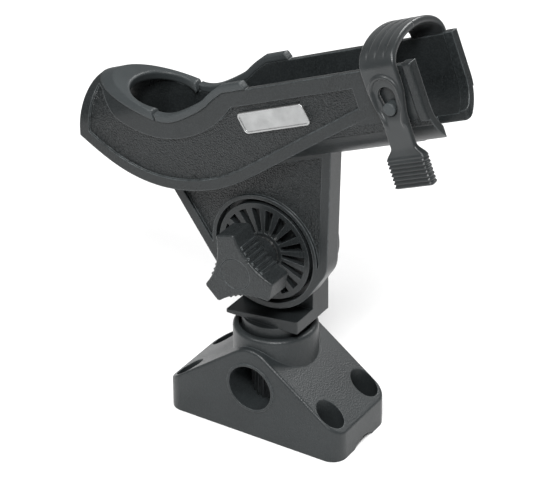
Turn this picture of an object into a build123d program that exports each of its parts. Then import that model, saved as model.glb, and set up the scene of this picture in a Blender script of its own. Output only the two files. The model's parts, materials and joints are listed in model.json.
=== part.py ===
from build123d import *
import os
from math import atan2, cos, degrees, hypot, radians, sin, tan

# Fishing rod holder: a roofed deck mount, a splined swivel bracket, a tilting cradle with a rubber
# hold-down strap, and a three-lobed clamp knob on a through bolt.
# Origin: centre of the mount's underside, on the post's axis. +X runs to the rod's tip end, the knob
# is on the -Y side and +Z is up.

# ---- running clearances and fits --------------------------------------------------------------
running_gap = 0.05          # radial gap of a turning fit
seat_gap = 0.02             # gap between faces that seat on each other and still move
soft_gap = 0.3              # gap between a rubber piece and what it lies on

# ---- cutting tools and edge picking -----------------------------------------------------------
cut_past = 1.0              # how far a tool runs past the face it starts from
tool_margin = 5.0           # how far the side-view tools run past the trough and its roof
pick_slack = 0.1            # slack when an edge is picked by its place

# ---- deck mount -------------------------------------------------------------------------------
mount_length = 102.0
mount_width = 49.0
mount_edge_height = 15.8    # height of the short end faces
mount_apex_height = 53.3    # where the two slopes would meet
mount_corner_radius = 8.0
mount_edge_radius = 1.6
ridge_radius = 13.5
neck_radius = 21.5
neck_top_height = 55.4
neck_lip_radius = 2.2
cup_radius = 18.5           # wide mouth at the top of the neck
cup_depth = 5.0
socket_floor = 8.0          # height of the socket's floor
cross_bore_radius = 12.2
cross_bore_height = 28.4
cross_bore_rim = 1.4        # width of the raised ring round the cross bore
cross_bore_rim_height = 0.5
cross_bore_rim_root = 1.0   # depth of the ring's foot in the wall
screw_spacing_x = 83.0
screw_spacing_y = 33.0
screw_hole_radius = 3.3
screw_head_radius = 6.9
screw_seat_height = 7.0
cable_groove_width = 17.0
cable_groove_height = 3.6

# ---- splined post and swivel bracket ----------------------------------------------------------
spline_count = 24
spline_root_radius = 11.9   # post radius between the splines
spline_height = 0.9
spline_width = 1.4
spline_root = 0.5           # depth of a spline's foot in the post
spline_gap = 0.1            # clearance all round the splines in the socket
post_foot_gap = 1.0         # space under the post
post_foot_chamfer = 0.4
post_shoulder_radius = 17.0
bracket_half_length = 20.7
bracket_near_y = -13.4
bracket_far_y = 17.0
bracket_underside = 60.3
bracket_low_edge = 62.0     # top of the platform at its thin rear end
bracket_high_edge = 67.0    # top of the platform at its thick front end
ear_radius = 27.0
ear_edge_radius = 1.0
platform_corner_radius = 0.6
head_washer_gap = 0.3       # radial room round the washer in the bolt's pocket

# ---- tilt hub ---------------------------------------------------------------------------------
hub_height = 99.4
rest_pitch = 21.5           # tilt of the cradle at rest, nose up
tooth_count = 24            # one click every 15 degrees
tooth_height = 1.4
tooth_root = 0.4            # depth of a tooth's foot in its face
tooth_half_width = 1.45
tooth_inner_radius = 14.0
tooth_outer_radius = 25.5
tooth_face_gap = 1.6        # between the cradle's face and the bracket's face, across the teeth
bolt_radius = 4.0
bolt_head_flat = 13.0
bolt_head_height = 5.3
bolt_head_pocket = 7.5      # depth of the pocket in the bracket's outer face
bolt_washer_radius = 8.0
bolt_washer_thickness = 1.2
bolt_chamfer = 0.6
washer_chamfer = 0.2

# ---- cradle: web ------------------------------------------------------------------------------
web_near_y = -10.0
web_far_y = 0.0
web_radius = 30.9
web_rim = 4.8               # smooth border round the sunken web panel
web_panel_depth = 1.6
web_panel_gap = 0.6         # the panel runs this far past the trough's underside
web_left_rise = (-17.0, 69.0)     # run of the web's rear edge up to the trough
hub_ring_radius = 29.9
hub_pocket_radius = 27.9
hub_pocket_depth = 6.0
hub_disc_radius = 25.7
hub_disc_thickness = 3.2
hub_slot_count = 18
hub_slot_inner = 10.0
hub_slot_outer = 23.0
hub_slot_angle = 11.5       # angle that each slot takes up, in degrees
hub_boss_radius = 8.0
hub_boss_height = 1.2
hub_boss_edge = 0.5

# ---- cradle: trough, in the cradle's own tilted frame with the hub at (0, 0) ---------------------
trough_half_width = 20.7
trough_wall = 3.2
plate_thickness = 4.2        # side plates below the trough's floor
rail_height = 85.0
trough_centre_height = 63.6  # centre of the round floor
arch_centre_height = 79.0    # centre of the closed rear tube's round roof
trough_front = 124.5
plate_front = 95.0           # where the side plates' sunken panels end
side_panel_depth = 1.1
hoop_drop = 7.3              # depth of the ring's plane under the roof's top, over hoop_point
hoop_slope = 31.3            # slope of the ring round the top opening
hoop_hole_radius = 17.1
hoop_outer_height = 2.4
hoop_thickness = 4.6
hoop_hole_edge = 1.2         # rounding of the top opening's edge
hoop_nose = 1.0              # how much the ring's front edge rises
hoop_rear = 25.0             # reach of the ring behind its point, before the round roof cuts it
hoop_lip = 0.7               # how far the ring stands out past the tube
hoop_front = -28.0
saddle_trim_height = 3.6
saddle_trim_out = 0.7
saddle_trim_in = 0.2         # how far the trims stand in past the inner wall
trim_start = 1.6             # height of the trims' rear end over the ring's plane
trim_edge = 0.8              # rounding of the trims' long top edges
trim_nose = 1.5              # slope of the trims' front end
mouth_flange_length = 5.0
mouth_flange_out = 1.5
mouth_flange_width = 5.4
mouth_flange_rise = 0.6
mouth_flange_foot = 58.0
mouth_flange_edge = 1.2
mouth_lip_corner = 3.0
mouth_slot_width = 20.0
mouth_slot_length = 17.0

# ---- cradle: outlines in the same tilted frame, seen from the near side ---------------------------
rear_foot = (-77.6, 75.6)
belly_run = [(-60.5, 56.6), (-36.0, 42.6), (-9.0, 38.4), (23.3, 43.9)]    # lower line of the side plates
belly_end = (plate_front, 63.8)
belly_tangents = [(0.62, -0.78), (0.963, 0.27)]
floor_shift = (1.6, 3.0)     # the floor's upper face is the belly line moved by this much
hoop_point_x = -49.0         # a point of the plane of the ring round the top opening
saddle_dip = [(-20.0, 78.6), (-10.0, 79.4), (4.0, 83.0)]     # top line of the saddle trims
saddle_tangents = [(1, -0.5), (1, 0.35)]
hump_rear = 17.5
hump_front = 31.2
hump_height = 88.9
channel_step = (5.0, 10.0)   # the full channel starts this far past the hump and under the rail
panel_belly = [(-71.4, 76.5), (-57.0, 60.8), (-34.2, 47.7), (-9.1, 43.8), (21.8, 49.1)]
panel_collar = [(19.1, 77.5), (10.6, 72.2), (-4.0, 67.3), (-19.5, 66.3), (-34.0, 69.6),
                (-44.5, 75.4), (-52.3, 82.6), (-55.8, 88.6), (-60.0, 94.8)]
panel_front = (89.6, 67.9)
panel_rear_top = (-63.4, 96.8)
web_right_top = (67.3, 66.0)
web_corner = (32.4, -14.9)
web_corner_radius = 16.0
web_left_angle = 193.8
web_low_angle = 250.0        # a point of the web's round foot between its two ends
web_foot_angle = -55.0
rear_reach = -100.0          # the channel is drawn from here and cut to the side view
tube_section_foot = 20.0     # the tube's section is drawn down to here

# ---- badge --------------------------------------------------------------------------------------
badge_length = 38.5
badge_height = 10.8
badge_slant = 1.0
badge_corner = 2.2
badge_thickness = 1.5
badge_centre = (41.3, 69.0)
badge_edge_radius = 0.4
badge_rim_width = 1.0
badge_field_depth = 0.35    # depth of the field inside the badge's rim

# ---- strap --------------------------------------------------------------------------------------
strap_rear = 98.7
strap_front = 117.7
strap_thickness = 3.3
strap_hinge_height = 85.0
strap_rise = 13.2            # height of the band's crown over its ends
band_crown_thickness = 4.0
stud_place = (108.2, 66.6)
stud_radius = 3.1
stud_reach = 4.3
stud_edge = 0.5
stud_spigot_radius = 2.0
stud_spigot_length = 2.4     # depth of the stud's and anchor's feet in the wall
anchor_place = (108.2, 74.0)
anchor_head = 1.4            # height and overhang of the anchor's head
keyhole_top = 77.0
keyhole_half_width = 4.6
tab_waist = 13.6             # width of the tab under the stud
grip_top = 46.5
grip_bottom = 29.0
grip_width = 21.5
grip_thickness = 5.2
grip_offset = 1.0            # how far the grip's middle stands out past the tab's middle
grip_shoulder = 3.0          # the grip starts to widen this far over its top
grip_rib_count = 7
grip_rib_depth = 0.9
tab_flare_height = 9.0       # height over the stud at which the tab starts to narrow
tab_neck_drop = 6.0          # depth under the stud at which the tab reaches its waist
grip_flare = 4.0             # height over which the grip widens
keyhole_taper = 1.0          # how much narrower the keyhole is at the stud

# ---- clamp knob ---------------------------------------------------------------------------------
washer_radius = 9.0
washer_thickness = 1.6
knob_front_y = -35.7
knob_depth = 14.5
knob_neck_radius = 9.5
knob_lobe_count = 3
knob_lobe_angle = 85.0
knob_lobe_radius = 20.3
knob_lobe_width = 10.6
knob_valley_radius = 11.4
knob_flute_count = 6
knob_flute_radius = 0.8
knob_flute_pitch = 5.0       # degrees between flutes
knob_cap_radius = 8.0
knob_cap_depth = 1.4
knob_cap_gap = 0.1           # radial gap of the cap in its recess
knob_cap_edge = 0.3
knob_bore_gap = 0.15         # radial room round the bolt on both sides of the insert
knob_tip_radius = 1.5
knob_front_radius = 1.0
flute_stop = 1.5             # the flutes end this far from the front face
insert_flat = 12.0
insert_length = 12.0
insert_proud = 2.0           # how far the insert stands into the knob's neck
bolt_tip_gap = 0.6           # room between the bolt's tip and the cap

os.makedirs("parts", exist_ok=True)


def save(part, name):
    """Label one finished piece and write its file."""
    part.label = name
    export_step(part, f"parts/{name}.step")


# ---- working planes -------------------------------------------------------------------------------
pitch_cos = cos(radians(rest_pitch))
pitch_sin = sin(radians(rest_pitch))
forward = Vector(pitch_cos, 0, pitch_sin)       # along the trough, to the rod's tip
hub_side = Plane(origin=(0, 0, hub_height), x_dir=(1, 0, 0), z_dir=(0, -1, 0))


def side_plane(y):
    """Upright plane at this y in the cradle's tilted frame: local x is forward, local y is up."""
    return Plane(origin=(0, y, hub_height), x_dir=forward, z_dir=(0, -1, 0))


def polar(radius, angle):
    """Point at this radius and angle in degrees about the hub."""
    return (radius * cos(radians(angle)), radius * sin(radians(angle)))


def station_plane(place):
    """Plane across the trough at this distance forward of the hub: local x is +Y, local y is up."""
    return Plane(origin=Vector(0, 0, hub_height) + forward * place, x_dir=(0, 1, 0), z_dir=forward)


# =====================================================================================================
# Deck mount
# =====================================================================================================
socket_radius = spline_root_radius + spline_gap

with BuildPart() as deck_mount:
    with BuildSketch(Plane.XZ.offset(-mount_width / 2)):
        with BuildLine():
            Polyline(
                (-mount_length / 2, 0),
                (mount_length / 2, 0),
                (mount_length / 2, mount_edge_height),
                (0, mount_apex_height),
                (-mount_length / 2, mount_edge_height),
                close=True,
            )
        make_face()
    extrude(amount=mount_width)
    ridge = deck_mount.edges().filter_by(Axis.Y).sort_by(Axis.Z)[-1]
    fillet(ridge, ridge_radius)
    fillet(deck_mount.edges().filter_by(Axis.Z), mount_corner_radius)
    rim = deck_mount.edges().filter_by(lambda e: e.center().Z > mount_edge_height - pick_slack)
    outer_rim = rim.filter_by(lambda e: abs(e.center().Y) > mount_width / 2 - mount_corner_radius
                              or abs(e.center().X) > mount_length / 2 - mount_corner_radius)
    fillet(outer_rim, mount_edge_radius)

    # round neck
    with BuildSketch(Plane.XY.offset(mount_edge_height)):
        Circle(neck_radius)
    extrude(amount=neck_top_height - mount_edge_height)
    fillet(deck_mount.edges().filter_by(GeomType.CIRCLE).group_by(Axis.Z)[-1], neck_lip_radius)

    # raised rings round the two mouths of the cross bore
    for side in (1, -1):
        with BuildSketch(Plane.XZ.offset(side * (mount_width / 2 + cross_bore_rim_height))):
            with Locations((0, cross_bore_height)):
                Circle(cross_bore_radius + cross_bore_rim)
        extrude(amount=-side * (cross_bore_rim_height + cross_bore_rim_root))

    # splined socket, its wide mouth, and the cross bore
    with BuildSketch(Plane.XY.offset(neck_top_height - cup_depth)):
        Circle(cup_radius)
    extrude(amount=cup_depth + cut_past, mode=Mode.SUBTRACT)
    with BuildSketch(Plane.XY.offset(socket_floor)):
        Circle(socket_radius)
        with PolarLocations(socket_radius - spline_root, spline_count):
            Rectangle(2 * (spline_height + spline_root), spline_width + 2 * spline_gap)
    extrude(amount=neck_top_height - socket_floor, mode=Mode.SUBTRACT)
    with BuildSketch(Plane.XZ):
        with Locations((0, cross_bore_height)):
            Circle(cross_bore_radius)
    extrude(amount=mount_width, both=True, mode=Mode.SUBTRACT)

    # four counterbored screw holes
    with Locations(Plane.XY.offset(mount_apex_height)):
        with GridLocations(screw_spacing_x, screw_spacing_y, 2, 2):
            CounterBoreHole(screw_hole_radius, screw_head_radius, mount_apex_height - screw_seat_height)

    # arched groove along the underside
    with BuildSketch(Plane.YZ):
        with BuildLine():
            Line((-cable_groove_width / 2, 0), (cable_groove_width / 2, 0))
            ThreePointArc((cable_groove_width / 2, 0), (0, cable_groove_height), (-cable_groove_width / 2, 0))
        make_face()
    extrude(amount=mount_length, both=True, mode=Mode.SUBTRACT)
save(deck_mount.part, "deck_mount")

# =====================================================================================================
# Swivel bracket: splined post, wedge platform and toothed ear
# =====================================================================================================
ear_near_y = web_far_y + tooth_face_gap


def face_of_teeth(face_y):
    """Plane on the face at this y, centred on the hub, with its normal along -Y."""
    return Plane(origin=(0, face_y, hub_height), x_dir=(1, 0, 0), z_dir=(0, -1, 0))


with BuildPart() as tooth:
    # one radial ridge along +X, rising from the plane of its face and rooted a little under it
    with BuildSketch(Plane.YZ.offset(tooth_inner_radius)):
        with BuildLine():
            Polyline(
                (-tooth_half_width, -tooth_root),
                (-tooth_half_width, 0),
                (0, tooth_height),
                (tooth_half_width, 0),
                (tooth_half_width, -tooth_root),
                close=True,
            )
        make_face()
    extrude(amount=tooth_outer_radius - tooth_inner_radius)

with BuildPart() as swivel_bracket:
    # wedge platform, thicker at its front end
    with BuildSketch(Plane.XZ.offset(-bracket_far_y)):
        with BuildLine():
            Polyline(
                (-bracket_half_length, bracket_underside),
                (bracket_half_length, bracket_underside),
                (bracket_half_length, bracket_high_edge),
                (-bracket_half_length, bracket_low_edge),
                close=True,
            )
        make_face()
    extrude(amount=bracket_far_y - bracket_near_y)
    # ear behind the web
    with BuildSketch(Plane.XZ.offset(-bracket_far_y)):
        with Locations((0, hub_height)):
            Circle(ear_radius)
        with Locations((0, (bracket_underside + hub_height) / 2)):
            Rectangle(2 * bracket_half_length, hub_height - bracket_underside)
    extrude(amount=bracket_far_y - ear_near_y)
    fillet(swivel_bracket.faces().sort_by(Axis.Y)[-1].edges(), ear_edge_radius)
    near_corners = swivel_bracket.edges().filter_by(Axis.Z).group_by(Axis.Y)[0]
    fillet(near_corners, platform_corner_radius)

    # shoulder and splined post
    with BuildSketch(Plane.XY.offset(neck_top_height - cup_depth + seat_gap)):
        Circle(post_shoulder_radius)
    extrude(amount=bracket_underside - neck_top_height + cup_depth)
    with BuildSketch(Plane.XY.offset(socket_floor + post_foot_gap)):
        Circle(spline_root_radius)
        with PolarLocations(spline_root_radius - spline_root, spline_count):
            Rectangle(2 * (spline_height + spline_root) - 2 * spline_gap, spline_width)
    extrude(amount=neck_top_height - socket_floor - post_foot_gap)
    chamfer(swivel_bracket.faces().sort_by(Axis.Z)[0].outer_wire().edges(), post_foot_chamfer)

    with Locations(face_of_teeth(ear_near_y)):
        with PolarLocations(0, tooth_count, start_angle=rest_pitch + 180 / tooth_count):
            add(tooth.part)

    # bore for the bolt and pocket for its hexagon head and washer
    with BuildSketch(hub_side):
        Circle(bolt_radius + running_gap)
    extrude(amount=mount_length, both=True, mode=Mode.SUBTRACT)
    with BuildSketch(Plane.XZ.offset(-bracket_far_y)):
        with Locations((0, hub_height)):
            Circle(bolt_washer_radius + head_washer_gap)
    extrude(amount=bolt_head_pocket, mode=Mode.SUBTRACT)
save(swivel_bracket.part, "swivel_bracket")

# =====================================================================================================
# Clamp bolt and the washer under its head
# =====================================================================================================
pocket_floor_y = bracket_far_y - bolt_head_pocket
bolt_tip_y = knob_front_y + knob_cap_depth + bolt_tip_gap

with BuildPart() as bolt_washer:
    with BuildSketch(Plane.XZ.offset(-pocket_floor_y)):
        with Locations((0, hub_height)):
            Circle(bolt_washer_radius)
            Circle(bolt_radius + running_gap, mode=Mode.SUBTRACT)
    extrude(amount=-bolt_washer_thickness)
    chamfer(bolt_washer.faces().sort_by(Axis.Y)[-1].outer_wire().edges(), washer_chamfer)
save(bolt_washer.part, "bolt_washer")

bolt_seat_y = pocket_floor_y + bolt_washer_thickness
with BuildPart() as clamp_bolt:
    with BuildSketch(Plane.XZ.offset(-bolt_seat_y)):
        with Locations((0, hub_height)):
            RegularPolygon(bolt_head_flat / 2, 6, major_radius=False)
    extrude(amount=-bolt_head_height)
    chamfer(clamp_bolt.faces().sort_by(Axis.Y)[-1].edges(), bolt_chamfer)
    with BuildSketch(Plane.XZ.offset(-bolt_seat_y)):
        with Locations((0, hub_height)):
            Circle(bolt_radius)
    extrude(amount=bolt_seat_y - bolt_tip_y)
    chamfer(clamp_bolt.faces().sort_by(Axis.Y)[0].edges(), bolt_chamfer)
save(clamp_bolt.part, "clamp_bolt")

# =====================================================================================================
# Cradle body: side plates, channel, closed rear tube, web and mouth flange
# =====================================================================================================
arch_top = arch_centre_height + trough_half_width
# the rear end is cut along a line that is upright at rest
rear_top = (rear_foot[0] + tan(radians(rest_pitch)) * (arch_top - rear_foot[1]), arch_top)
belly = [rear_foot] + belly_run
# the ring round the top opening lies in a plane through this point, sloping down to the front
hoop_point = (hoop_point_x, arch_top - hoop_drop)
hoop_along = (cos(radians(hoop_slope)), -sin(radians(hoop_slope)))
hoop_up = (sin(radians(hoop_slope)), cos(radians(hoop_slope)))


def on_hoop(along, above):
    """Point of the side view at this distance along the ring's plane and above it."""
    return (
        hoop_point[0] + along * hoop_along[0] + above * hoop_up[0],
        hoop_point[1] + along * hoop_along[1] + above * hoop_up[1],
    )


hoop_seat = hoop_outer_height - hoop_thickness        # height of the ring's underside over its plane
seat_top_along = (hoop_point[1] + hoop_seat * hoop_up[1] - arch_top) / -hoop_along[1]
seat_front_along = (hoop_front - hoop_point[0] - hoop_seat * hoop_up[0]) / hoop_along[0]


def saddle_points(drop):
    """Points of the side walls' top line from the ring's front to the hump, this far under the trims' top."""
    start = on_hoop(seat_front_along, 0)
    points = [(start[0], start[1] + trim_start - drop)]
    points += [(x, z - drop) for x, z in saddle_dip]
    points.append((hump_rear, hump_height - drop))
    return points


def side_outline():
    """Face of the side plates and the rear tube seen from the side."""
    wall_top = saddle_points(saddle_trim_height)
    with BuildSketch() as outline:
        with BuildLine():
            Spline(belly, tangents=belly_tangents)
            Line(belly[-1], belly_end)
            Spline(wall_top, tangents=saddle_tangents)
            Polyline(
                belly_end,
                (plate_front, rail_height),
                (hump_front, rail_height),
                (hump_front, hump_height - saddle_trim_height),
                wall_top[-1],
            )
            Polyline(
                wall_top[0],
                on_hoop(seat_front_along, hoop_seat),
                on_hoop(seat_top_along, hoop_seat),
                rear_top,
                rear_foot,
            )
        make_face()
    return outline.sketch


def channel_section(half_width, top):
    """U-shaped section: round floor, straight sides up to the given height."""
    with BuildSketch() as section:
        with BuildLine():
            ThreePointArc(
                (-half_width, trough_centre_height),
                (0, trough_centre_height - half_width),
                (half_width, trough_centre_height),
            )
            Polyline(
                (half_width, trough_centre_height),
                (half_width, top),
                (-half_width, top),
                (-half_width, trough_centre_height),
            )
        make_face()
    return section.sketch


def tube_section(half_width):
    """Section of the rear tube: flat sides under a round roof."""
    with BuildSketch() as section:
        with BuildLine():
            ThreePointArc(
                (-half_width, arch_centre_height),
                (0, arch_centre_height + half_width),
                (half_width, arch_centre_height),
            )
            Polyline(
                (half_width, arch_centre_height),
                (half_width, tube_section_foot),
                (-half_width, tube_section_foot),
                (-half_width, arch_centre_height),
            )
        make_face()
    return section.sketch


inner_half = trough_half_width - trough_wall
tool_reach = trough_half_width + tool_margin      # how far the side-view cutting tools reach each way


def web_outline():
    """Face of the web: a round foot about the hub, flaring up to the trough."""
    left = polar(web_radius, web_left_angle)
    left_up = (left[0] + web_left_rise[0], left[1] + web_left_rise[1])
    low = polar(web_radius, web_low_angle)
    foot = polar(web_radius, web_foot_angle)
    with BuildSketch() as outline:
        with BuildLine():
            Polyline(foot, web_corner, web_right_top, left_up, left)
            ThreePointArc(left, low, foot)
        make_face()
        fillet(outline.vertices().sort_by_distance(web_corner)[0], web_corner_radius)
    return outline.sketch



with BuildPart() as roof_corners:
    # what lies outside the rear tube's round roof
    with BuildSketch(station_plane(rear_reach)):
        with Locations((0, arch_centre_height + tool_reach / 2)):
            Rectangle(2 * tool_reach, tool_reach)
        with Locations((0, arch_centre_height)):
            Circle(trough_half_width, mode=Mode.SUBTRACT)
    extrude(amount=hoop_front - rear_reach)

with BuildPart() as panel_cutter:
    # the sunken panels of both side plates, which run up onto the rear tube's roof
    with BuildSketch(side_plane(tool_reach)):
        with BuildLine():
            Spline(panel_belly, tangents=belly_tangents)
            Polyline(panel_belly[-1], panel_front, (panel_front[0], panel_collar[0][1]), panel_collar[0])
            Spline(panel_collar)
            Polyline(panel_collar[-1], panel_rear_top, panel_belly[0])
        make_face()
    extrude(amount=2 * tool_reach)
    with BuildSketch(station_plane(rear_reach)):
        add(tube_section(trough_half_width - side_panel_depth))
    extrude(amount=trough_front - rear_reach, mode=Mode.SUBTRACT)

with BuildPart() as rear_cavity:
    with BuildSketch(station_plane(rear_reach)):
        add(tube_section(inner_half))
        with Locations((0, trough_centre_height - tool_reach)):
            Rectangle(2 * tool_reach, 2 * tool_reach, mode=Mode.SUBTRACT)
        with Locations((0, trough_centre_height)):
            Circle(inner_half)
    extrude(amount=hoop_front - rear_reach)
    with BuildSketch(side_plane(tool_reach)):
        floor_line = [(x + floor_shift[0], z + floor_shift[1]) for x, z in belly]
        with BuildLine():
            Spline(floor_line, tangents=belly_tangents)
            Polyline(
                floor_line[-1],
                (plate_front, trough_centre_height),
                (plate_front, arch_top + tool_margin),
                (rear_reach, arch_top + tool_margin),
                (rear_reach, floor_line[0][1]),
                floor_line[0],
            )
        make_face()
    extrude(amount=2 * tool_reach, mode=Mode.INTERSECT)

with BuildPart() as side_plates:
    # one plate on each side, down to the belly line
    for side in (1, -1):
        with BuildSketch(side_plane(side * trough_half_width)):
            add(side_outline())
        extrude(amount=side * plate_thickness)


def is_lip_corner(edge):
    """True for the two short edges where the mouth's slot meets the trough's front face."""
    place = station_plane(trough_front).to_local_coords(edge.center())
    at_slot = abs(abs(place.X) - mouth_slot_width / 2) < pick_slack
    return at_slot and abs(place.Z) < pick_slack and place.Y < trough_centre_height


with BuildPart() as mouth_flange:
    # thickened ends of the upright walls
    with BuildSketch(station_plane(trough_front - mouth_flange_length)):
        add(channel_section(trough_half_width + mouth_flange_out, rail_height + mouth_flange_rise))
        with Locations((0, mouth_flange_foot - tool_reach)):
            Rectangle(3 * tool_reach, 2 * tool_reach, mode=Mode.SUBTRACT)
    extrude(amount=mouth_flange_length)
    outer_sides = mouth_flange.faces().filter_by(Axis.Y)
    fillet(outer_sides.edges(), mouth_flange_edge)

with BuildPart() as cradle_body:
    # channel from end to end, cut to the side view
    with BuildSketch(station_plane(rear_reach)):
        add(channel_section(trough_half_width, arch_top))
    extrude(amount=trough_front - rear_reach)
    with BuildSketch(side_plane(tool_reach)):
        add(side_outline())
        with BuildLine():
            Polyline(
                (belly[3][0], rail_height - channel_step[1]),
                (belly[3][0], 0),
                (trough_front, 0),
                (trough_front, rail_height),
                (hump_front + channel_step[0], rail_height),
                (hump_front + channel_step[0], rail_height - channel_step[1]),
                close=True,
            )
        make_face()
    extrude(amount=2 * tool_reach, mode=Mode.INTERSECT)
    add(side_plates.part)
    add(roof_corners.part, mode=Mode.SUBTRACT)
    # flange beside the mouth
    add(mouth_flange.part)
    # web
    with BuildSketch(side_plane(web_far_y)):
        add(web_outline())
    extrude(amount=web_far_y - web_near_y)
    # sunken panels on the plates
    add(panel_cutter.part, mode=Mode.SUBTRACT)
    # hollow of the rear tube and of the open trough
    add(rear_cavity.part, mode=Mode.SUBTRACT)
    with BuildSketch(station_plane(hoop_front)):
        add(channel_section(inner_half, arch_top))
    extrude(amount=trough_front - mouth_flange_length - hoop_front, mode=Mode.SUBTRACT)
    with BuildSketch(station_plane(trough_front - mouth_flange_length)):
        mouth_half = trough_half_width + mouth_flange_out - mouth_flange_width
        add(channel_section(mouth_half, arch_top))
    extrude(amount=mouth_flange_length, mode=Mode.SUBTRACT)
    # slot through the floor at the mouth
    with BuildSketch(station_plane(trough_front - mouth_slot_length)):
        with Locations((0, trough_centre_height - tool_reach / 2)):
            Rectangle(mouth_slot_width, tool_reach)
    extrude(amount=mouth_slot_length, mode=Mode.SUBTRACT)
    slot_edges = cradle_body.edges().filter_by(is_lip_corner)
    fillet(slot_edges, mouth_lip_corner)
    # sunken panels on both faces of the web
    for face_y, inward in ((web_near_y, -1), (web_far_y, 1)):
        with BuildSketch(side_plane(face_y)):
            add(web_outline())
            offset(amount=-web_rim, mode=Mode.REPLACE)
            Circle(hub_ring_radius, mode=Mode.SUBTRACT)
            with Locations((0, trough_centre_height - trough_half_width + web_panel_gap + tool_reach)):
                Rectangle(8 * tool_reach, 2 * tool_reach, mode=Mode.SUBTRACT)
        extrude(amount=inward * web_panel_depth, mode=Mode.SUBTRACT)
    # teeth towards the bracket's ear
    with Locations(Plane(origin=(0, web_far_y, hub_height), x_dir=(1, 0, 0), z_dir=(0, 1, 0))):
        with PolarLocations(0, tooth_count, start_angle=-rest_pitch):
            add(tooth.part)
    # pocket for the slotted disc and bore for the bolt
    with BuildSketch(side_plane(web_near_y)):
        Circle(hub_pocket_radius)
    extrude(amount=-hub_pocket_depth, mode=Mode.SUBTRACT)
    with BuildSketch(side_plane(web_far_y)):
        Circle(bolt_radius + running_gap)
    extrude(amount=2 * tool_reach, both=True, mode=Mode.SUBTRACT)
    # holes for the strap's stud and anchor
    for side, place in ((-1, stud_place), (1, anchor_place)):
        with BuildSketch(side_plane(side * trough_half_width)):
            with Locations(place):
                Circle(stud_spigot_radius + seat_gap)
        extrude(amount=side * (stud_spigot_length + seat_gap), mode=Mode.SUBTRACT)
save(cradle_body.part, "cradle_body")

# =====================================================================================================
# Slotted disc in the web's pocket
# =====================================================================================================
with BuildPart() as hub_disc:
    with BuildSketch(side_plane(web_near_y + hub_disc_thickness)):
        Circle(hub_disc_radius)
        with PolarLocations(0, hub_slot_count):
            inner_half_slot = hub_slot_inner * tan(radians(hub_slot_angle / 2))
            outer_half_slot = hub_slot_outer * tan(radians(hub_slot_angle / 2))
            Polygon(
                (hub_slot_inner, -inner_half_slot),
                (hub_slot_outer, -outer_half_slot),
                (hub_slot_outer, outer_half_slot),
                (hub_slot_inner, inner_half_slot),
                align=None,
                mode=Mode.SUBTRACT,
            )
    extrude(amount=hub_disc_thickness)
    with BuildSketch(side_plane(web_near_y + hub_pocket_depth)):
        Circle(hub_boss_radius)
    extrude(amount=hub_pocket_depth + hub_boss_height)
    fillet(hub_disc.faces().sort_by(Axis.Y)[0].edges(), hub_boss_edge)
    with BuildSketch(side_plane(web_far_y)):
        Circle(bolt_radius + running_gap)
    extrude(amount=tool_reach, mode=Mode.SUBTRACT)
save(hub_disc.part, "hub_disc")

# =====================================================================================================
# Ring round the top opening, and the trims along the saddle
# =====================================================================================================
def is_hole_edge(edge, plane):
    """True for the upper edges of the round hole in this plane."""
    place = plane.to_local_coords(edge.position_at(0.5))
    on_wall = abs(hypot(place.X, place.Y) - hoop_hole_radius) < pick_slack
    return on_wall and place.Z > 0 and edge.length > hoop_thickness + pick_slack


with BuildPart() as rear_hoop:
    with BuildSketch(side_plane(tool_reach)):
        with BuildLine():
            Polyline(
                on_hoop(-hoop_rear, hoop_seat),
                on_hoop(seat_front_along, hoop_seat),
                (hoop_front, on_hoop(seat_front_along, hoop_outer_height)[1] + hoop_nose),
                on_hoop(-hoop_rear, hoop_outer_height),
                close=True,
            )
        make_face()
    extrude(amount=2 * tool_reach)
    with BuildSketch(station_plane(rear_reach)):
        add(tube_section(trough_half_width + hoop_lip))
    extrude(amount=hoop_front - rear_reach, mode=Mode.INTERSECT)
    hole_centre = on_hoop(hoop_hole_radius, 0)
    hole_origin = Vector(0, 0, hub_height) + forward * hole_centre[0]
    hole_origin += Vector(-pitch_sin, 0, pitch_cos) * hole_centre[1]
    hole_normal = forward * hoop_up[0] + Vector(-pitch_sin, 0, pitch_cos) * hoop_up[1]
    hole_plane = Plane(origin=hole_origin, x_dir=(0, 1, 0), z_dir=hole_normal)
    with BuildSketch(hole_plane):
        Circle(hoop_hole_radius)
    extrude(amount=tool_reach, both=True, mode=Mode.SUBTRACT)
    fillet(rear_hoop.edges().filter_by(lambda e: is_hole_edge(e, hole_plane)), hoop_hole_edge)
save(rear_hoop.part, "rear_hoop")

for side, name in ((-1, "saddle_trim_near"), (1, "saddle_trim_far")):
    with BuildPart() as saddle_trim:
        inner_y = inner_half - saddle_trim_in
        outer_y = trough_half_width + saddle_trim_out
        with BuildSketch(side_plane(side * inner_y)):
            top_line = saddle_points(0)
            seat_line = saddle_points(saddle_trim_height)
            with BuildLine():
                Spline(top_line, tangents=saddle_tangents)
                Spline(seat_line, tangents=saddle_tangents)
                Line(top_line[0], seat_line[0])
                Polyline(
                    top_line[-1],
                    (hump_front - trim_nose, hump_height),
                    (hump_front, hump_height - saddle_trim_height),
                    seat_line[-1],
                )
            make_face()
        extrude(amount=-side * (outer_y - inner_y))
        top_faces = saddle_trim.faces().sort_by(Axis.Z)[-2:]
        fillet(top_faces.edges().filter_by(lambda e: e.length > 2 * saddle_trim_height), trim_edge)
    save(saddle_trim.part, name)

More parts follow.
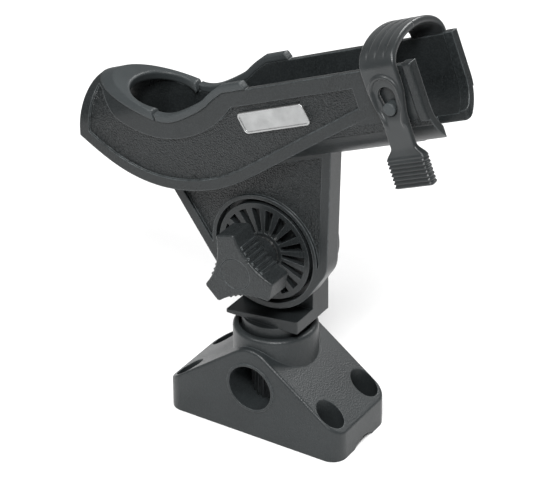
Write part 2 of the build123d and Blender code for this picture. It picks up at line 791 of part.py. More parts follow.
# =====================================================================================================
# Badges on the sunken side panels
# =====================================================================================================
panel_y = trough_half_width - side_panel_depth
for side, name in ((-1, "badge_near"), (1, "badge_far")):
    with BuildPart() as badge:
        with BuildSketch(side_plane(side * panel_y)) as plate:
            with BuildLine():
                half_length = badge_length / 2
                half_height = badge_height / 2
                Polyline(
                    (badge_centre[0] - half_length + badge_slant, badge_centre[1] - half_height),
                    (badge_centre[0] + half_length + badge_slant, badge_centre[1] - half_height),
                    (badge_centre[0] + half_length - badge_slant, badge_centre[1] + half_height),
                    (badge_centre[0] - half_length - badge_slant, badge_centre[1] + half_height),
                    close=True,
                )
            make_face()
            fillet(plate.vertices(), badge_corner)
        extrude(amount=-side * badge_thickness)
        outer_face = badge.faces().sort_by(Axis.Y)[0 if side < 0 else -1]
        fillet(outer_face.edges(), badge_edge_radius)
        with BuildSketch(side_plane(side * (panel_y + badge_thickness))):
            add(plate.sketch_local)
            offset(amount=-badge_rim_width, mode=Mode.REPLACE)
        extrude(amount=side * badge_field_depth, mode=Mode.SUBTRACT)
    save(badge.part, name)

# =====================================================================================================
# Strap: stud, anchor, far tab, band and near tab with its grip
# =====================================================================================================
strap_centre = (strap_rear + strap_front) / 2
strap_width = strap_front - strap_rear
hinge_y = trough_half_width + soft_gap + strap_thickness / 2
strap_inner_y = trough_half_width + soft_gap
strap_outer_y = strap_inner_y + strap_thickness

for side, place, head, name in (
    (-1, stud_place, 0.0, "strap_stud"),
    (1, anchor_place, anchor_head, "strap_anchor"),
):
    with BuildPart() as stud:
        with BuildSketch(side_plane(side * trough_half_width)):
            with Locations(place):
                Circle(stud_radius)
        extrude(amount=-side * stud_reach)
        with BuildSketch(side_plane(side * trough_half_width)):
            with Locations(place):
                Circle(stud_spigot_radius)
        extrude(amount=side * stud_spigot_length)
        if head:
            with BuildSketch(side_plane(side * (trough_half_width + stud_reach))):
                with Locations(place):
                    Circle(stud_radius + head)
            extrude(amount=-side * head)
        fillet(stud.faces().sort_by(Axis.Y)[0 if side < 0 else -1].edges(), stud_edge)
    save(stud.part, name)

with BuildPart() as strap_far_tab:
    with BuildSketch(side_plane(strap_inner_y)):
        with Locations((strap_centre, (strap_hinge_height + anchor_place[1]) / 2)):
            Rectangle(strap_width, strap_hinge_height - anchor_place[1])
        with Locations((strap_centre, anchor_place[1])):
            Circle(strap_width / 2)
        with Locations(anchor_place):
            Circle(stud_radius + soft_gap, mode=Mode.SUBTRACT)
    extrude(amount=-strap_thickness)
    with BuildSketch(station_plane(strap_rear)):
        with Locations((hinge_y, strap_hinge_height)):
            Circle(strap_thickness / 2)
    extrude(amount=strap_width)
save(strap_far_tab.part, "strap_far_tab")

with BuildPart() as strap_band:
    with BuildSketch(station_plane(strap_rear)):
        with Locations((0, strap_hinge_height)):
            Ellipse(strap_outer_y, strap_rise)
            Ellipse(strap_inner_y, strap_rise - band_crown_thickness, mode=Mode.SUBTRACT)
        cut_height = strap_hinge_height + strap_thickness / 2 + soft_gap
        with Locations((0, cut_height - tool_reach)):
            Rectangle(3 * tool_reach, 2 * tool_reach, mode=Mode.SUBTRACT)
    extrude(amount=strap_width)
save(strap_band.part, "strap_band")

with BuildPart() as strap_tab:
    with BuildSketch(side_plane(-strap_inner_y)):
        with BuildLine():
            Polyline(
                (strap_rear, strap_hinge_height),
                (strap_rear, stud_place[1] + tab_flare_height),
                (strap_centre - tab_waist / 2, stud_place[1] - tab_neck_drop),
                (strap_centre - tab_waist / 2, grip_top + grip_shoulder),
                (strap_centre + tab_waist / 2, grip_top + grip_shoulder),
                (strap_centre + tab_waist / 2, stud_place[1] - tab_neck_drop),
                (strap_front, stud_place[1] + tab_flare_height),
                (strap_front, strap_hinge_height),
                close=True,
            )
        make_face()
        # keyhole: round at the stud, wider above it
        with BuildLine():
            Polyline(
                (stud_place[0] + keyhole_half_width - keyhole_taper, stud_place[1]),
                (stud_place[0] + keyhole_half_width, keyhole_top - keyhole_half_width),
            )
            ThreePointArc(
                (stud_place[0] + keyhole_half_width, keyhole_top - keyhole_half_width),
                (stud_place[0], keyhole_top),
                (stud_place[0] - keyhole_half_width, keyhole_top - keyhole_half_width),
            )
            Polyline(
                (stud_place[0] - keyhole_half_width, keyhole_top - keyhole_half_width),
                (stud_place[0] - keyhole_half_width + keyhole_taper, stud_place[1]),
            )
            ThreePointArc(
                (stud_place[0] - keyhole_half_width + keyhole_taper, stud_place[1]),
                (stud_place[0], stud_place[1] - keyhole_half_width + keyhole_taper),
                (stud_place[0] + keyhole_half_width - keyhole_taper, stud_place[1]),
            )
        make_face(mode=Mode.SUBTRACT)
    extrude(amount=strap_thickness)
    with BuildSketch(station_plane(strap_rear)):
        with Locations((-hinge_y, strap_hinge_height)):
            Circle(strap_thickness / 2)
    extrude(amount=strap_width)
    # flared grip with ribs across its outer face
    grip_inner_y = strap_inner_y + (strap_thickness - grip_thickness) / 2 + grip_offset
    with BuildSketch(side_plane(-grip_inner_y)):
        with BuildLine():
            Polyline(
                (strap_centre - tab_waist / 2, grip_top + grip_shoulder),
                (strap_centre - grip_width / 2, grip_top - grip_flare),
                (strap_centre - grip_width / 2, grip_bottom),
                (strap_centre + grip_width / 2, grip_bottom),
                (strap_centre + grip_width / 2, grip_top - grip_flare),
                (strap_centre + tab_waist / 2, grip_top + grip_shoulder),
                close=True,
            )
        make_face()
    extrude(amount=grip_thickness)
    rib_pitch = (grip_top - grip_flare - grip_bottom) / grip_rib_count
    with BuildSketch(station_plane(strap_centre - grip_width / 2)):
        for index in range(grip_rib_count):
            with Locations((-grip_inner_y - grip_thickness, grip_bottom + (index + 0.5) * rib_pitch)):
                Rectangle(2 * grip_rib_depth, rib_pitch / 2)
    extrude(amount=grip_width)
save(strap_tab.part, "strap_tab")

# =====================================================================================================
# Thrust washer and clamp knob
# =====================================================================================================
washer_seat_y = web_near_y - hub_boss_height - seat_gap
with BuildPart() as thrust_washer:
    with BuildSketch(side_plane(washer_seat_y)):
        Circle(washer_radius)
        Circle(bolt_radius + running_gap, mode=Mode.SUBTRACT)
    extrude(amount=washer_thickness)
    chamfer(thrust_washer.faces().sort_by(Axis.Y)[0].outer_wire().edges(), washer_chamfer)
save(thrust_washer.part, "thrust_washer")

knob_seat_y = washer_seat_y - washer_thickness - seat_gap
knob_back_y = knob_front_y + knob_depth
insert_back_y = knob_back_y + insert_proud
lobe_step = 360 / knob_lobe_count
half_lobe = degrees(atan2(knob_lobe_width / 2, knob_lobe_radius))
tip_radius = hypot(knob_lobe_width / 2, knob_lobe_radius)


with BuildPart() as clamp_knob:
    with BuildSketch(side_plane(knob_back_y)):
        with BuildLine():
            for lobe in range(knob_lobe_count):
                middle = knob_lobe_angle + lobe * lobe_step
                leading = polar(tip_radius, middle + half_lobe)
                following = polar(tip_radius, middle + lobe_step - half_lobe)
                Line(polar(tip_radius, middle - half_lobe), leading)
                ThreePointArc(leading, polar(knob_valley_radius, middle + lobe_step / 2), following)
        make_face()
    extrude(amount=knob_depth)
    tips = clamp_knob.edges().filter_by(Axis.Y)
    fillet(tips, knob_tip_radius)
    fillet(clamp_knob.faces().sort_by(Axis.Y)[0].edges(), knob_front_radius)
    # flutes for grip in the valleys
    tip_along = tip_radius * cos(radians(lobe_step / 2 - half_lobe))
    tip_across = tip_radius * sin(radians(lobe_step / 2 - half_lobe))
    valley_centre = (tip_along ** 2 + tip_across ** 2 - knob_valley_radius ** 2)
    valley_centre /= 2 * (tip_along - knob_valley_radius)
    valley_bend = valley_centre - knob_valley_radius
    with BuildSketch(side_plane(knob_back_y)):
        for lobe in range(knob_lobe_count):
            middle = knob_lobe_angle + (lobe + 0.5) * lobe_step
            for flute in range(knob_flute_count):
                turn = (flute - (knob_flute_count - 1) / 2) * knob_flute_pitch
                centre = polar(valley_centre, middle)
                inward = polar(valley_bend, middle + 180 + turn)
                with Locations((centre[0] + inward[0], centre[1] + inward[1])):
                    Circle(knob_flute_radius)
    extrude(amount=knob_depth - flute_stop)
    # neck that presses on the washer
    with BuildSketch(side_plane(knob_seat_y)):
        Circle(knob_neck_radius)
    extrude(amount=knob_seat_y - knob_back_y + cut_past)
    # bore, seat of the threaded insert, and recess of the face cap
    with BuildSketch(side_plane(knob_seat_y)):
        Circle(bolt_radius + knob_bore_gap)
    extrude(amount=knob_seat_y - knob_front_y, mode=Mode.SUBTRACT)
    with BuildSketch(side_plane(insert_back_y)):
        RegularPolygon(insert_flat / 2, 6, major_radius=False)
    extrude(amount=insert_length, mode=Mode.SUBTRACT)
    with BuildSketch(side_plane(knob_front_y)):
        Circle(knob_cap_radius + knob_cap_gap)
    extrude(amount=-knob_cap_depth, mode=Mode.SUBTRACT)
save(clamp_knob.part, "clamp_knob")

with BuildPart() as knob_insert:
    with BuildSketch(side_plane(insert_back_y)):
        RegularPolygon(insert_flat / 2, 6, major_radius=False)
        Circle(bolt_radius + running_gap, mode=Mode.SUBTRACT)
    extrude(amount=insert_length)
save(knob_insert.part, "knob_insert")

with BuildPart() as knob_cap:
    with BuildSketch(side_plane(knob_front_y + knob_cap_depth)):
        Circle(knob_cap_radius)
    extrude(amount=knob_cap_depth)
    fillet(knob_cap.faces().sort_by(Axis.Y)[0].edges(), knob_cap_edge)
save(knob_cap.part, "knob_cap")
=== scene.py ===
"""Looks of the rod holder: grained plastics, a moulded rubber strap, a satin badge, and a pale studio."""
import json
from math import cos, hypot, pi, radians, sin

import bmesh
import bpy
from mathutils import Matrix, Vector


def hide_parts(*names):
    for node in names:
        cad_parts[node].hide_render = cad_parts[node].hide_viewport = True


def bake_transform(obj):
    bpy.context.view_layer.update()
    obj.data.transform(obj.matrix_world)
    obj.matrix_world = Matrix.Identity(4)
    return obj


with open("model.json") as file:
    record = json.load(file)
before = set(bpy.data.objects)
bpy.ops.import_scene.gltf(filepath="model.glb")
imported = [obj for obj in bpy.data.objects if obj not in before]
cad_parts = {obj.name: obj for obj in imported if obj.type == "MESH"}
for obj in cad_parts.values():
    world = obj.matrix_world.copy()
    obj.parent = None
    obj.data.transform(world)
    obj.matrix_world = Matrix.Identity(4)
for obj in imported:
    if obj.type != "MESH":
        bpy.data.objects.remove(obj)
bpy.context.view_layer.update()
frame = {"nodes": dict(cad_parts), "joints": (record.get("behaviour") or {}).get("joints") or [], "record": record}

MM = 0.001


# ---- the trough's own frame, from the strap's two hinges ------------------------------------------------
joints = {joint["name"]: joint for joint in frame["joints"]}
far_flex = Vector(joints["strap_swing"]["pos_m"])
near_flex = Vector(joints["tab_peel"]["pos_m"])
hub = Vector(joints["cradle_tilt"]["pos_m"])
along = -Vector(joints["strap_swing"]["axis"]).normalized()
across = Vector((0, 1, 0))
upward = along.cross(across)
middle = (far_flex + near_flex) / 2
FLEX_Y = (far_flex - near_flex).length / 2


def at(x, y, z):
    """Point x along the trough, y across it and z above the flexes, from the strap's middle."""
    return middle + along * x + across * y + upward * z


# ---- materials ------------------------------------------------------------------------------------
class Shader:
    """A node material with a principled shader, and short ways to add and join its nodes."""

    def __init__(self, name, **uniform):
        self.material = bpy.data.materials.new(name)
        self.material.use_nodes = True
        self.tree = self.material.node_tree
        self.surface = self.tree.nodes["Principled BSDF"]
        for socket, value in uniform.items():
            self.surface.inputs[socket.replace("_", " ")].default_value = value
        coordinates = self.add("ShaderNodeTexCoord")
        self.place = coordinates.outputs["Object"]
        self.facing = coordinates.outputs["Normal"]

    def add(self, kind, **settings):
        node = self.tree.nodes.new(kind)
        for name, value in settings.items():
            setattr(node, name, value)
        return node

    def join(self, source, target):
        self.tree.links.new(source, target)

    def noise(self, scale, detail=3.0, stretch=(1, 1, 1)):
        """Cloudy pattern from 0 to 1; scale is in cells per metre."""
        node = self.add("ShaderNodeTexNoise")
        node.inputs["Scale"].default_value = scale
        node.inputs["Detail"].default_value = detail
        mapping = self.add("ShaderNodeMapping")
        mapping.inputs["Scale"].default_value = stretch
        self.join(self.place, mapping.inputs["Vector"])
        self.join(mapping.outputs["Vector"], node.inputs["Vector"])
        return node.outputs["Fac"]

    def cells(self, scale):
        """Pebbly pattern: 0 at the middle of each cell."""
        node = self.add("ShaderNodeTexVoronoi", feature="SMOOTH_F1")
        node.inputs["Scale"].default_value = scale
        node.inputs["Smoothness"].default_value = 0.6
        self.join(self.place, node.inputs["Vector"])
        return node.outputs["Distance"]

    def ranged(self, value, low, high, to_low, to_high):
        """value moved from low..high to to_low..to_high, and held there beyond."""
        node = self.add("ShaderNodeMapRange")
        for name, number in (("From Min", low), ("From Max", high), ("To Min", to_low), ("To Max", to_high)):
            node.inputs[name].default_value = number
        self.join(value, node.inputs["Value"])
        return node.outputs["Result"]

    def maths(self, operation, first, second=None, number=None):
        node = self.add("ShaderNodeMath", operation=operation)
        self.join(first, node.inputs[0])
        if second is not None:
            self.join(second, node.inputs[1])
        if number is not None:
            node.inputs[1].default_value = number
        return node.outputs[0]

    def along(self, vector, direction):
        """How far vector reaches along this fixed direction."""
        node = self.add("ShaderNodeVectorMath", operation="DOT_PRODUCT")
        self.join(vector, node.inputs[0])
        node.inputs[1].default_value = direction
        return node.outputs["Value"]

    def ramp(self, value, *stops):
        """Colours laid along value: each stop is (position, colour)."""
        node = self.add("ShaderNodeValToRGB")
        elements = node.color_ramp.elements
        while len(elements) < len(stops):
            elements.new(0.5)
        for element, (position, colour) in zip(elements, stops):
            element.position = position
            element.color = (*colour, 1)
        self.join(value, node.inputs["Fac"])
        return node.outputs["Color"]

    def edges(self, radius):
        """1 on sharp edges, 0 on flats, and the rounded normal that goes with it."""
        rounded = self.add("ShaderNodeBevel", samples=6)
        rounded.inputs["Radius"].default_value = radius
        plain = self.add("ShaderNodeNewGeometry")
        dot = self.add("ShaderNodeVectorMath", operation="DOT_PRODUCT")
        self.join(rounded.outputs["Normal"], dot.inputs[0])
        self.join(plain.outputs["Normal"], dot.inputs[1])
        return self.ranged(dot.outputs["Value"], 0.98, 0.84, 0, 1), rounded.outputs["Normal"]

    def bump(self, height, distance, normal=None, strength=1.0):
        node = self.add("ShaderNodeBump")
        node.inputs["Strength"].default_value = strength
        node.inputs["Distance"].default_value = distance
        self.join(height, node.inputs["Height"])
        if normal is not None:
            self.join(normal, node.inputs["Normal"])
        return node.outputs["Normal"]

    def tint(self, base, layer, amount):
        """base with layer mixed over it by amount; layer is a colour or a socket."""
        node = self.add("ShaderNodeMix", data_type="RGBA")
        self.join(amount, node.inputs["Factor"])
        self.join(base, node.inputs["A"])
        if isinstance(layer, tuple):
            node.inputs["B"].default_value = (*layer, 1)
        else:
            self.join(layer, node.inputs["B"])
        return node.outputs["Result"]

    def done(self, colour, roughness, normal):
        self.join(colour, self.surface.inputs["Base Color"])
        self.join(roughness, self.surface.inputs["Roughness"])
        self.join(normal, self.surface.inputs["Normal"])
        return self.material


def nylon(name, dark, light, highlight_and_wear, rough, grain_scale, grain_depth, edge, grain_bands=None):
    """Moulded glass-filled nylon. grain_bands lists the ranges of |y|, in metres, with coarse grain."""
    s = Shader(name, Specular_IOR_Level=0.30)
    clouds = s.noise(38, 5)
    fibres = s.noise(900, 2, (1, 1, 0.25))
    colour = s.ramp(clouds, (0.25, dark), (0.75, light))
    # painted glints: light specks in the highlight-and-wear colour stand in for the grain's small highlights
    painted_glints = s.ranged(s.noise(1700, 3), 0.42, 0.66, 0, 0.13)
    colour = s.tint(colour, highlight_and_wear, painted_glints)
    grain = s.cells(grain_scale)
    fine = s.noise(4200, 2)
    if grain_bands:
        # distance out from the trough's middle plane, or from the roof's axis above that axis
        out = s.maths("ABSOLUTE", s.along(s.place, across))
        over = s.maths("SUBTRACT", s.along(s.place, upward), number=roof_axis)
        over = s.maths("MAXIMUM", over, number=0.0)
        squares = s.maths("ADD", s.maths("MULTIPLY", out, out), s.maths("MULTIPLY", over, over))
        width = s.maths("SQRT", squares)
        face_out = s.maths("MULTIPLY", s.maths("ABSOLUTE", s.along(s.facing, across)), out)
        face_over = s.maths("MULTIPLY", s.along(s.facing, upward), over)
        faces = s.maths("DIVIDE", s.maths("ADD", face_out, face_over), width)
        masks = []
        for low, high in grain_bands:
            above = s.ranged(width, low - BAND_FADE, low, 0, 1)
            below = s.ranged(width, high, high + BAND_FADE, 1, 0)
            masks.append(s.maths("MULTIPLY", above, below))
        mask = masks[0]
        for other in masks[1:]:
            mask = s.maths("MAXIMUM", mask, other)
        mask = s.maths("MULTIPLY", mask, s.ranged(faces, 0.8, 0.9, 0, 1))
        grain_height = s.maths("MULTIPLY", grain, mask)
        # painted shade of the grain: the coarse grain's cells are darkened towards their borders
        painted_grain_shade = s.maths("MULTIPLY", s.ranged(grain, 0.35, 0.75, 0, 0.5), mask)
        colour = s.tint(colour, tuple(c * 0.45 for c in dark), painted_grain_shade)
    else:
        grain_height = grain
    edge_mask, rounded = s.edges(edge)
    # lighter edges, partly wear and partly painted highlight along the rims and corners
    edge_wear_and_highlight = s.maths("MULTIPLY", edge_mask, s.ranged(s.noise(260, 4), 0.35, 0.7, 0.3, 0.9))
    colour = s.tint(colour, highlight_and_wear, edge_wear_and_highlight)
    roughness = s.maths("ADD", s.ranged(clouds, 0.3, 0.7, rough - 0.04, rough + 0.05),
                        s.ranged(fibres, 0.3, 0.7, -0.03, 0.03))
    relief = s.bump(grain_height, grain_depth, rounded, 0.9)
    relief = s.bump(fine, 0.00002, relief, 0.55)
    return s.done(colour, roughness, relief)


def rubber(name):
    """Black moulded rubber: soft sheen, dusty bloom in the hollows."""
    s = Shader(name, Specular_IOR_Level=0.46, Sheen_Weight=0.12, Sheen_Roughness=0.45)
    bloom = s.noise(70, 6)
    colour = s.ramp(bloom, (0.3, (0.0140, 0.0162, 0.0170)), (0.72, (0.0205, 0.0237, 0.0247)))
    roughness = s.ranged(s.noise(150, 4), 0.3, 0.7, 0.27, 0.38)
    edge_mask, rounded = s.edges(0.0004)
    # lighter on sharp edges
    colour = s.tint(colour, (0.050, 0.056, 0.059), s.maths("MULTIPLY", edge_mask, number=0.5))
    relief = s.bump(s.noise(2600, 3), 0.00003, rounded, 0.6)
    return s.done(colour, roughness, relief)


def metal(name, dark, light, rough, brushed):
    """Bare metal with fine turned or brushed lines."""
    s = Shader(name, Metallic=1.0)
    lines = s.noise(900, 2, brushed)
    colour = s.ramp(s.noise(120, 4), (0.3, dark), (0.7, light))
    edge_mask, rounded = s.edges(0.0003)
    # lighter on sharp edges
    colour = s.tint(colour, tuple(min(1, c * 1.25) for c in light), s.maths("MULTIPLY", edge_mask, number=0.5))
    roughness = s.ranged(lines, 0.3, 0.7, rough - 0.07, rough + 0.08)
    return s.done(colour, roughness, s.bump(lines, 0.00002, rounded, 0.5))


ROOF_RISE = 79.0 * MM            # of the rear roof's axis over the hub
roof_axis = hub.dot(upward) + ROOF_RISE
# |y| ranges of the sunken panels: the side plates', the web's near face and the web's far face
GRAIN_PANELS = ((19.0 * MM, 20.2 * MM), (7.6 * MM, 8.8 * MM), (0.8 * MM, 2.0 * MM))
BAND_FADE = 0.2 * MM             # over which the grain fades out at a band's ends
# name, dark, light and highlight-and-wear colours (the last gives painted highlight on edges and specks, and edge
# wear), roughness, grain cells a metre, grain depth, edge radius, grain bands
NYLONS = (
    ("base_nylon", (0.0155, 0.0182, 0.0192), (0.0222, 0.0258, 0.0270), (0.0700, 0.0790, 0.0820),
     0.37, 1500, 0.00008, 0.0007),
    ("bracket_nylon", (0.0112, 0.0130, 0.0137), (0.0173, 0.0199, 0.0209), (0.0500, 0.0570, 0.0590),
     0.34, 1500, 0.00005, 0.0006),
    ("cradle_nylon", (0.0080, 0.0094, 0.0098), (0.0130, 0.0151, 0.0158), (0.1050, 0.1180, 0.1220),
     0.31, 1250, 0.00048, 0.0010, GRAIN_PANELS),
    ("trim_nylon", (0.0270, 0.0312, 0.0326), (0.0360, 0.0415, 0.0433), (0.0640, 0.0720, 0.0750),
     0.40, 1500, 0.00004, 0.0016),
    ("disc_nylon", (0.0090, 0.0104, 0.0109), (0.0135, 0.0155, 0.0162), (0.1000, 0.1120, 0.1160),
     0.30, 1500, 0.00004, 0.0004),
    ("knob_nylon", (0.0105, 0.0121, 0.0127), (0.0175, 0.0201, 0.0210), (0.1350, 0.1510, 0.1560),
     0.30, 1300, 0.00017, 0.0007),
)
finishes = {name: nylon(name, *looks) for name, *looks in NYLONS}
finishes |= {
    "strap_rubber": rubber("strap_rubber"),
    "badge_silver": metal("badge_silver", (0.33, 0.335, 0.335), (0.45, 0.455, 0.455), 0.38, (1, 1, 12)),
    "fastener_steel": metal("fastener_steel", (0.48, 0.48, 0.47), (0.62, 0.62, 0.60), 0.28, (6, 1, 6)),
    "insert_brass": metal("insert_brass", (0.55, 0.40, 0.17), (0.72, 0.54, 0.26), 0.32, (6, 1, 6)),
}
for subpart in frame["record"]["subparts"]:
    node = frame["nodes"][subpart["node"]]
    node.data.materials.clear()
    node.data.materials.append(finishes[subpart["material_slot"]])

# ---- rubber strap -----------------------------------------------------------------------------------
BAND_WIDTH = 18.6 * MM
TAB_WAIST = 13.2 * MM
GRIP_WIDTH = 21.0 * MM
SKIN = 3.0 * MM
CROWN_RISE = 11.4 * MM          # of the band's mid-surface over the flexes
CROWN_SKIN = 3.5 * MM
STUD_DROP = 18.4 * MM           # the stud's centre under the flexes
KEYHOLE_TOP = 8.1 * MM
KEYHOLE_HALF = 4.5 * MM
KEYHOLE_FOOT_HALF = 3.5 * MM
WAIST_DROP = 25.0 * MM
GRIP_START = 36.5 * MM
GRIP_FULL = 42.6 * MM
TAB_END = 55.9 * MM
GRIP_RIBS = 7
RIB_HEIGHT = 1.3 * MM
RIB_NOTCH = 0.7 * MM             # how far the valleys between ribs bite into the grip's edges
FAR_TAB_END = 20.3 * MM
ANCHOR_DROP = 11.0 * MM
ANCHOR_HOLE = 3.4 * MM
CUT_REACH = 4.0 * MM              # of the hole cutters each way from the tab
FLEX_REACH = 4.0 * MM             # distance each way from a flex, for places listed in the loop below that nothing reads
EDGE_ROUND = 0.9 * MM
ACROSS_STEPS = 44                # steps across each face of the strap
STEP = 0.45 * MM


def smooth(value, low, high):
    """0 below low, 1 above high, easing between."""
    t = min(1.0, max(0.0, (value - low) / (high - low)))
    return t * t * (3 - 2 * t)


def ridge(value, centre, half):
    """Round-topped bump of height 1 at centre, 0 beyond half."""
    t = abs(value - centre) / half
    return 0.0 if t >= 1 else (1 - t * t) ** 2


def band_place(turn):
    """Mid-surface point and outward direction of the band; turn runs 0 at the near flex to pi at the far."""
    y = -FLEX_Y * cos(turn)
    z = CROWN_RISE * sin(turn)
    out_y = -CROWN_RISE * cos(turn)
    out_z = FLEX_Y * sin(turn)
    size = hypot(out_y, out_z)
    return y, z, out_y / size, out_z / size


def tab_width(drop):
    """Width of the near tab at this depth under the flex."""
    width = BAND_WIDTH - (BAND_WIDTH - TAB_WAIST) * smooth(drop, 8 * MM, WAIST_DROP)
    width += (GRIP_WIDTH - TAB_WAIST) * smooth(drop, GRIP_START, GRIP_FULL)
    if drop > GRIP_FULL:
        phase = GRIP_RIBS * (drop - GRIP_FULL) / (TAB_END - GRIP_FULL)
        width -= 2 * RIB_NOTCH * (0.5 + 0.5 * cos(2 * pi * phase))
    return width


def tab_relief(drop, offset):
    """Height added to the near tab's outer face: the raised arch round the keyhole, and the grip's ribs."""
    height = 0.0
    if drop < WAIST_DROP + 4 * MM:
        half = 7.0 * MM - 2.2 * MM * smooth(drop, STUD_DROP - 2 * MM, WAIST_DROP)
        top = 3.4 * MM
        reach = hypot(offset, min(0.0, drop - (top + half)))
        arch_fade = 1 - smooth(drop, WAIST_DROP, WAIST_DROP + 4 * MM)
        height += 0.95 * MM * ridge(reach, half, 1.5 * MM) * arch_fade
        if reach < half:
            dish_fade = 1 - smooth(drop, STUD_DROP, WAIST_DROP)
            height -= 0.75 * MM * smooth(half - reach, 0, 1.4 * MM) * dish_fade
    if drop > GRIP_FULL - 1.5 * MM:
        pitch = (TAB_END - GRIP_FULL) / GRIP_RIBS
        phase = (drop - GRIP_FULL) / pitch
        rib = (0.5 - 0.5 * cos(2 * pi * phase)) ** 0.8
        height += RIB_HEIGHT * rib * smooth(drop, GRIP_FULL - 1.5 * MM, GRIP_FULL)
    return height


def band_relief(turn, offset):
    """Long shallow grooves over the crown, and a soft swell at each side."""
    fade = smooth(sin(turn), 0.25, 0.75)
    grooves = sum(ridge(offset, place * MM, 0.9 * MM) for place in (-4.6, 0.0, 4.6))
    return -0.55 * MM * fade * grooves


def strap_rows():
    """Cross rows along the whole strap, from the near tab's foot over the crown to the far tab's foot.

    Each row: mid-surface y and z, outward y and z, width, half thickness, relief function."""
    rows = []
    drop_steps = int(TAB_END / STEP)
    for i in range(drop_steps, 0, -1):
        drop = TAB_END * i / drop_steps
        half = SKIN / 2 + 0.7 * MM * smooth(drop, GRIP_START, GRIP_FULL)
        rows.append(("tab", drop, -FLEX_Y, -drop, -1.0, 0.0, tab_width(drop), half))
    turn_steps = int(pi * 20 * MM / STEP)
    for i in range(turn_steps + 1):
        turn = pi * i / turn_steps
        y, z, out_y, out_z = band_place(turn)
        half = SKIN / 2 + (CROWN_SKIN - SKIN) / 2 * sin(turn)
        rows.append(("band", turn, y, z, out_y, out_z, BAND_WIDTH, half))
    far_steps = int(FAR_TAB_END / STEP)
    for i in range(1, far_steps + 1):
        drop = FAR_TAB_END * i / far_steps
        below = max(0.0, drop - ANCHOR_DROP)
        radius = FAR_TAB_END - ANCHOR_DROP
        width = BAND_WIDTH * max(0.12, 1 - (below / radius) ** 2) ** 0.5
        rows.append(("far", drop, FLEX_Y, -drop, 1.0, 0.0, width, SKIN / 2))
    return rows


def relief_of(row, offset):
    kind, place = row[0], row[1]
    if kind == "tab":
        return tab_relief(place, offset)
    if kind == "band":
        return band_relief(place, offset)
    return 0.5 * MM * ridge(hypot(offset, place - ANCHOR_DROP), 5.6 * MM, 1.2 * MM)


def strap_piece(name, rows):
    """Closed skin over these rows: a relieved outer face, a plain inner face and round edges."""
    bm = bmesh.new()
    rings = []
    for row in rows:
        _, _, y, z, out_y, out_z, width, half = row
        ring = []
        for side in (1, -1):
            for j in range(ACROSS_STEPS + 1):
                share = j / ACROSS_STEPS if side > 0 else 1 - j / ACROSS_STEPS
                offset = (share - 0.5) * width
                inset = width / 2 - abs(offset)
                drop_in = 0.0
                if inset < EDGE_ROUND:
                    drop_in = EDGE_ROUND - (EDGE_ROUND ** 2 - (EDGE_ROUND - inset) ** 2) ** 0.5
                height = half - drop_in
                if side > 0:
                    height += relief_of(row, offset) * smooth(inset, 0, 1.2 * MM)
                ring.append(bm.verts.new(at(offset, y + side * height * out_y, z + side * height * out_z)))
        rings.append(ring)
    size = len(rings[0])
    for a, b in zip(rings, rings[1:]):
        for j in range(size):
            k = (j + 1) % size
            bm.faces.new((a[j], a[k], b[k], b[j]))
    bm.faces.new(rings[0])
    bm.faces.new(list(reversed(rings[-1])))
    bmesh.ops.remove_doubles(bm, verts=bm.verts, dist=1e-6)
    bmesh.ops.recalc_face_normals(bm, faces=bm.faces)
    mesh = bpy.data.meshes.new(name)
    bm.to_mesh(mesh)
    bm.free()
    mesh.materials.append(finishes["strap_rubber"])
    piece = bpy.data.objects.new(name, mesh)
    bpy.context.scene.collection.objects.link(piece)
    return piece


def prism(outline, y_low, y_high):
    """Closed prism across the trough over an outline of (along, above) points."""
    bm = bmesh.new()
    low = [bm.verts.new(at(x, y_low, z)) for x, z in outline]
    high = [bm.verts.new(at(x, y_high, z)) for x, z in outline]
    bm.faces.new(low)
    bm.faces.new(list(reversed(high)))
    for i in range(len(outline)):
        k = (i + 1) % len(outline)
        bm.faces.new((low[i], high[i], high[k], low[k]))
    bmesh.ops.recalc_face_normals(bm, faces=bm.faces)
    mesh = bpy.data.meshes.new("cutter")
    bm.to_mesh(mesh)
    bm.free()
    cutter = bpy.data.objects.new("cutter", mesh)
    bpy.context.scene.collection.objects.link(cutter)
    return cutter


def cut(piece, cutter):
    """piece with cutter's space taken out, as a plain mesh."""
    modifier = piece.modifiers.new("cut", "BOOLEAN")
    modifier.operation = "DIFFERENCE"
    modifier.solver = "EXACT"
    modifier.object = cutter
    bpy.context.view_layer.update()
    evaluated = piece.evaluated_get(bpy.context.evaluated_depsgraph_get())
    mesh = bpy.data.meshes.new_from_object(evaluated)
    piece.modifiers.clear()
    piece.data = mesh
    bpy.data.objects.remove(cutter)


def arc(centre, radius, start, end, steps):
    return [(centre[0] + radius * cos(start + (end - start) * i / steps),
             centre[1] + radius * sin(start + (end - start) * i / steps)) for i in range(steps + 1)]


keyhole = arc((0, -KEYHOLE_TOP - KEYHOLE_HALF), KEYHOLE_HALF, 0, pi, 20)
keyhole += arc((0, -STUD_DROP), KEYHOLE_FOOT_HALF, pi, 2 * pi, 16)
anchor_hole = arc((0, -ANCHOR_DROP), ANCHOR_HOLE, 0, 2 * pi * 31 / 32, 31)

rows = strap_rows()
crown = next(i for i, row in enumerate(rows) if row[0] == "band" and row[1] >= pi / 2)
strap_near = strap_piece("strap_near", rows[:crown + 1])
strap_far = strap_piece("strap_far", rows[crown:])
cut(strap_near, prism(keyhole, -FLEX_Y - CUT_REACH, -FLEX_Y + CUT_REACH))
cut(strap_far, prism(anchor_hole, FLEX_Y - CUT_REACH, FLEX_Y + CUT_REACH))
for piece, nodes, bodies, places in (
    (strap_near, ("strap_tab",), ("strap_tab", "strap_band"),
     (at(0, -FLEX_Y, -FLEX_REACH), at(0, -FLEX_Y, FLEX_REACH))),
    (strap_far, ("strap_far_tab", "strap_band"), ("cradle", "strap_band"),
     (at(0, FLEX_Y, -FLEX_REACH), at(0, FLEX_Y, FLEX_REACH))),
):
    for polygon in piece.data.polygons:
        polygon.use_smooth = True
    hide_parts(*nodes)
    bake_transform(piece)


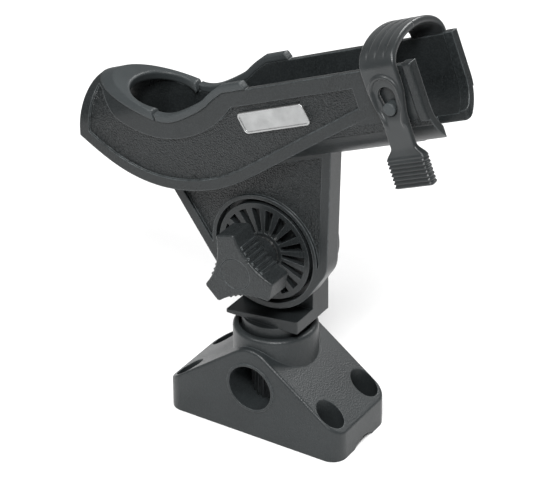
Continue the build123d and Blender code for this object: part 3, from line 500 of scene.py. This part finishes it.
# ---- studio -----------------------------------------------------------------------------------------
def floor_material():
    s = Shader("studio_floor", Specular_IOR_Level=0.2)
    colour = s.ramp(s.noise(3, 3), (0.3, (0.86, 0.86, 0.86)), (0.7, (0.90, 0.90, 0.90)))
    roughness = s.ranged(s.noise(9, 3), 0.3, 0.7, 0.7, 0.8)
    return s.done(colour, roughness, s.bump(s.noise(300, 3), 0.0001))


bpy.ops.mesh.primitive_plane_add(size=8)
floor = bpy.context.object
floor.name = "floor"
floor.data.materials.append(floor_material())

world = bpy.data.worlds.new("studio")
bpy.context.scene.world = world
world.use_nodes = True
world.node_tree.nodes["Background"].inputs["Color"].default_value = (1.0, 1.0, 1.0, 1)
world.node_tree.nodes["Background"].inputs["Strength"].default_value = 0.22
bpy.context.scene.view_settings.view_transform = "Standard"

TARGET = Vector((0, 0, 0.11))


def soft_light(name, place, size, watts):
    lamp = bpy.data.lights.new(name, "AREA")
    lamp.shape = "SQUARE"
    lamp.size = size
    lamp.energy = watts
    light = bpy.data.objects.new(name, lamp)
    bpy.context.scene.collection.objects.link(light)
    light.location = place
    light.rotation_euler = (TARGET - Vector(place)).to_track_quat("-Z", "Y").to_euler()


soft_light("key", (-0.35, -0.60, 1.05), 0.30, 7)
soft_light("front", (0.42, -0.70, 1.00), 0.3, 15)
soft_light("back", (0.20, 0.85, 1.00), 0.6, 13)

# ---- camera -----------------------------------------------------------------------------------------
VIEW_AZIMUTH = radians(32.546)
VIEW_ELEVATION = radians(29.571)
VIEW_ROLL = radians(-0.688)
VIEW_DISTANCE = 1.0533
LOOK_RIGHT = 0.00078
LOOK_HEIGHT = 0.09975
FOCAL_LENGTH = 140.49            # mm, on a sensor 36 mm wide

right = Vector((cos(VIEW_AZIMUTH), sin(VIEW_AZIMUTH), 0))
level = Vector((sin(VIEW_AZIMUTH), -cos(VIEW_AZIMUTH), 0))
back = level * cos(VIEW_ELEVATION) + Vector((0, 0, sin(VIEW_ELEVATION)))
up = back.cross(right)
rolled_right = right * cos(VIEW_ROLL) + up * sin(VIEW_ROLL)
rolled_up = up * cos(VIEW_ROLL) - right * sin(VIEW_ROLL)
lens = bpy.data.cameras.new("camera")
lens.sensor_width = 36
lens.lens = FOCAL_LENGTH
camera = bpy.data.objects.new("camera", lens)
bpy.context.scene.collection.objects.link(camera)
camera.matrix_world = Matrix((
    (rolled_right.x, rolled_up.x, back.x, 0),
    (rolled_right.y, rolled_up.y, back.y, 0),
    (rolled_right.z, rolled_up.z, back.z, 0),
    (0, 0, 0, 1),
))
camera.location = right * LOOK_RIGHT + Vector((0, 0, LOOK_HEIGHT)) + back * VIEW_DISTANCE
bpy.context.scene.camera = camera
